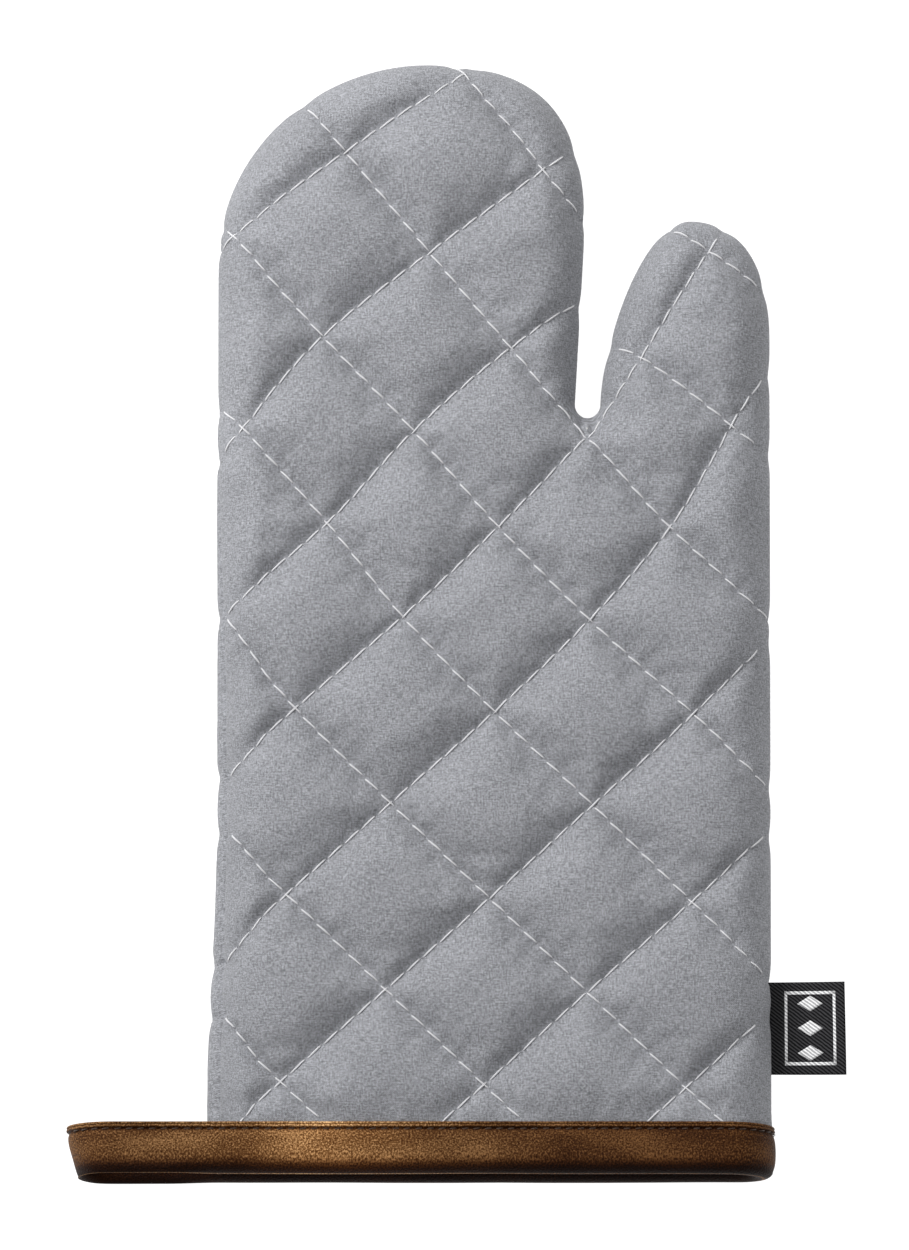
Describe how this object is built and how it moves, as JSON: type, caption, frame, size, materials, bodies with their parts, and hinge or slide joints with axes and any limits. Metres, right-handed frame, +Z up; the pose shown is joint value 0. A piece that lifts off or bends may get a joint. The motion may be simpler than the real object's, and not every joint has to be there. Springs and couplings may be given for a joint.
{
  "type": "oven mitt",
  "caption": "Quilted fabric oven mitt with a finger pocket and a thumb, a leather-look cuff binding, a hanging loop of the same tape and a woven side label.",
  "frame": {"origin": "middle of the cuff edge, on the surface that the mitt lies on with its palm side up", "axes": "+X towards the thumb side, +Y from the cuff to the fingertips, +Z up out of the palm side"},
  "size_m": [0.2298, 0.333, 0.0282],
  "materials": {
    "cover_fabric": "plain woven grey cotton, matt",
    "batting": "needled fibre batting",
    "lining": "thin plain woven lining",
    "white_thread": "white polyester sewing thread",
    "brown_leather": "brown leather-look tape, fine grain, satin",
    "tan_thread": "brown sewing thread",
    "label_weave": "black woven ribbon",
    "label_thread": "white woven threads"
  },
  "bodies": {
    "palm": {"front_cover_palm": "cover_fabric", "back_cover_palm": "cover_fabric", "front_batting_palm": "batting", "back_batting_palm": "batting", "front_lining_palm": "lining", "back_lining_palm": "lining", "front_quilting_palm": "white_thread", "back_quilting_palm": "white_thread", "seam_thread_palm": "white_thread", "cuff_binding": "brown_leather", "binding_topstitch": "tan_thread"},
    "fingers": {"front_cover_fingers": "cover_fabric", "back_cover_fingers": "cover_fabric", "front_batting_fingers": "batting", "back_batting_fingers": "batting", "front_lining_fingers": "lining", "back_lining_fingers": "lining", "front_quilting_fingers": "white_thread", "back_quilting_fingers": "white_thread", "seam_thread_fingers": "white_thread"},
    "thumb": {"front_cover_thumb": "cover_fabric", "back_cover_thumb": "cover_fabric", "front_batting_thumb": "batting", "back_batting_thumb": "batting", "front_lining_thumb": "lining", "back_lining_thumb": "lining", "front_quilting_thumb": "white_thread", "back_quilting_thumb": "white_thread", "seam_thread_thumb": "white_thread"},
    "loop": {"hanging_loop": "brown_leather", "loop_topstitch": "tan_thread"},
    "label": {"side_label": "label_weave", "label_motif": "label_thread"}
  },
  "joints": [
    {"name": "finger_fold", "type": "hinge", "parent": "palm", "child": "fingers", "pos_m": [-0.027, 0.248, 0.028], "axis": [1, 0, 0], "range_deg": [0, 35]},
    {"name": "thumb_fold", "type": "hinge", "parent": "palm", "child": "thumb", "pos_m": [0.082, 0.192, 0.028], "axis": [0.7256, -0.6882, 0], "range_deg": [0, 35]},
    {"name": "loop_swing", "type": "hinge", "parent": "palm", "child": "loop", "pos_m": [-0.0881, 0.0075, 0.0121], "axis": [0, 1, 0], "range_deg": [-9, 75], "stiffness_Nm_per_rad": 0.008},
    {"name": "label_flap", "type": "hinge", "parent": "palm", "child": "label", "pos_m": [0.0824, 0.0447, 0.0121], "axis": [0, -1, 0], "range_deg": [-35, 75], "stiffness_Nm_per_rad": 0.00015}
  ]
}
